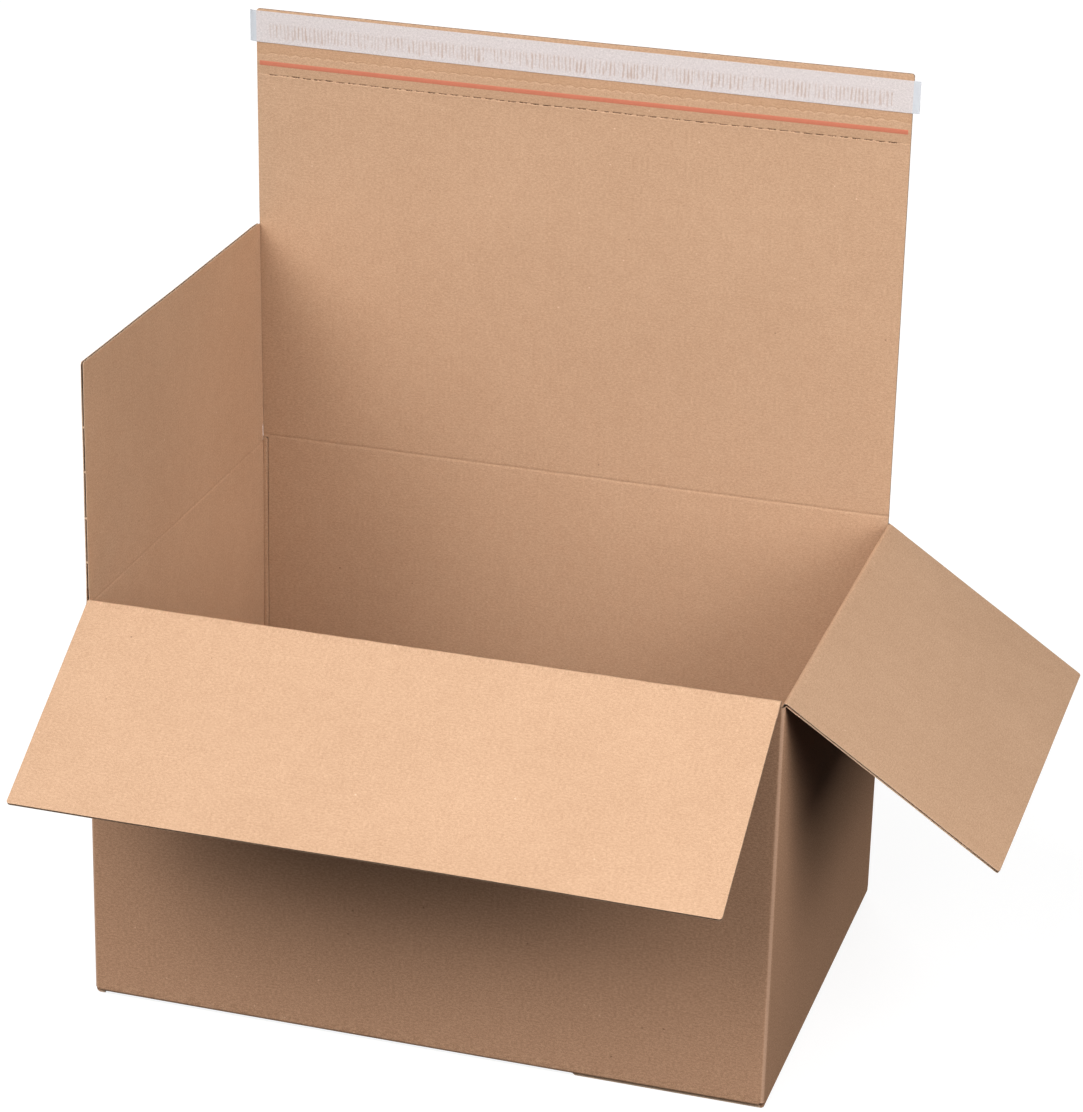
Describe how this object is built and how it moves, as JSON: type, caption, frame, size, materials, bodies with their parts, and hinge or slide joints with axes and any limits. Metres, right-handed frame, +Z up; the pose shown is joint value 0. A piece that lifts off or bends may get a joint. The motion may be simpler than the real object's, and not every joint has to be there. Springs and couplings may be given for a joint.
{
  "type": "auto bottom carton",
  "caption": "Open corrugated carton with a self-locking bottom and hinged top flaps; its tall lid has an adhesive strip under a release liner and a tear thread.",
  "frame": {"origin": "middle of the walls' outside footprint, at floor level", "axes": "+X to the right along the front wall, +Y to the back wall that carries the lid, +Z up"},
  "size_m": [0.4551, 0.3435, 0.4574],
  "materials": {
    "board": "brown kraft liner, matt, finely mottled",
    "adhesive": "clear tan hot-melt adhesive",
    "liner": "thin translucent white release paper, satin",
    "thread": "red tear tape, satin"
  },
  "bodies": {
    "carton": {"carton_body": "board"},
    "lid": {"lid": "board", "adhesive_strip": "adhesive", "release_liner": "liner", "tear_thread": "thread"},
    "front_flap": {"front_flap": "board"},
    "left_flap": {"left_flap": "board"},
    "right_flap": {"right_flap": "board"}
  },
  "joints": [
    {"name": "lid_crease", "type": "hinge", "parent": "carton", "child": "lid", "pos_m": [0, 0.1205, 0.21947], "axis": [1, 0, 0], "range_deg": [-146.5, 88.5]},
    {"name": "front_flap_crease", "type": "hinge", "parent": "carton", "child": "front_flap", "pos_m": [0, -0.1205, 0.21735], "axis": [1, 0, 0], "range_deg": [-212, 48]},
    {"name": "left_flap_crease", "type": "hinge", "parent": "carton", "child": "left_flap", "pos_m": [-0.175, 0, 0.2155], "axis": [0, 1, 0], "range_deg": [-170, 90]},
    {"name": "right_flap_crease", "type": "hinge", "parent": "carton", "child": "right_flap", "pos_m": [0.175, 0, 0.2155], "axis": [0, 1, 0], "range_deg": [-213.5, 46.5]}
  ]
}
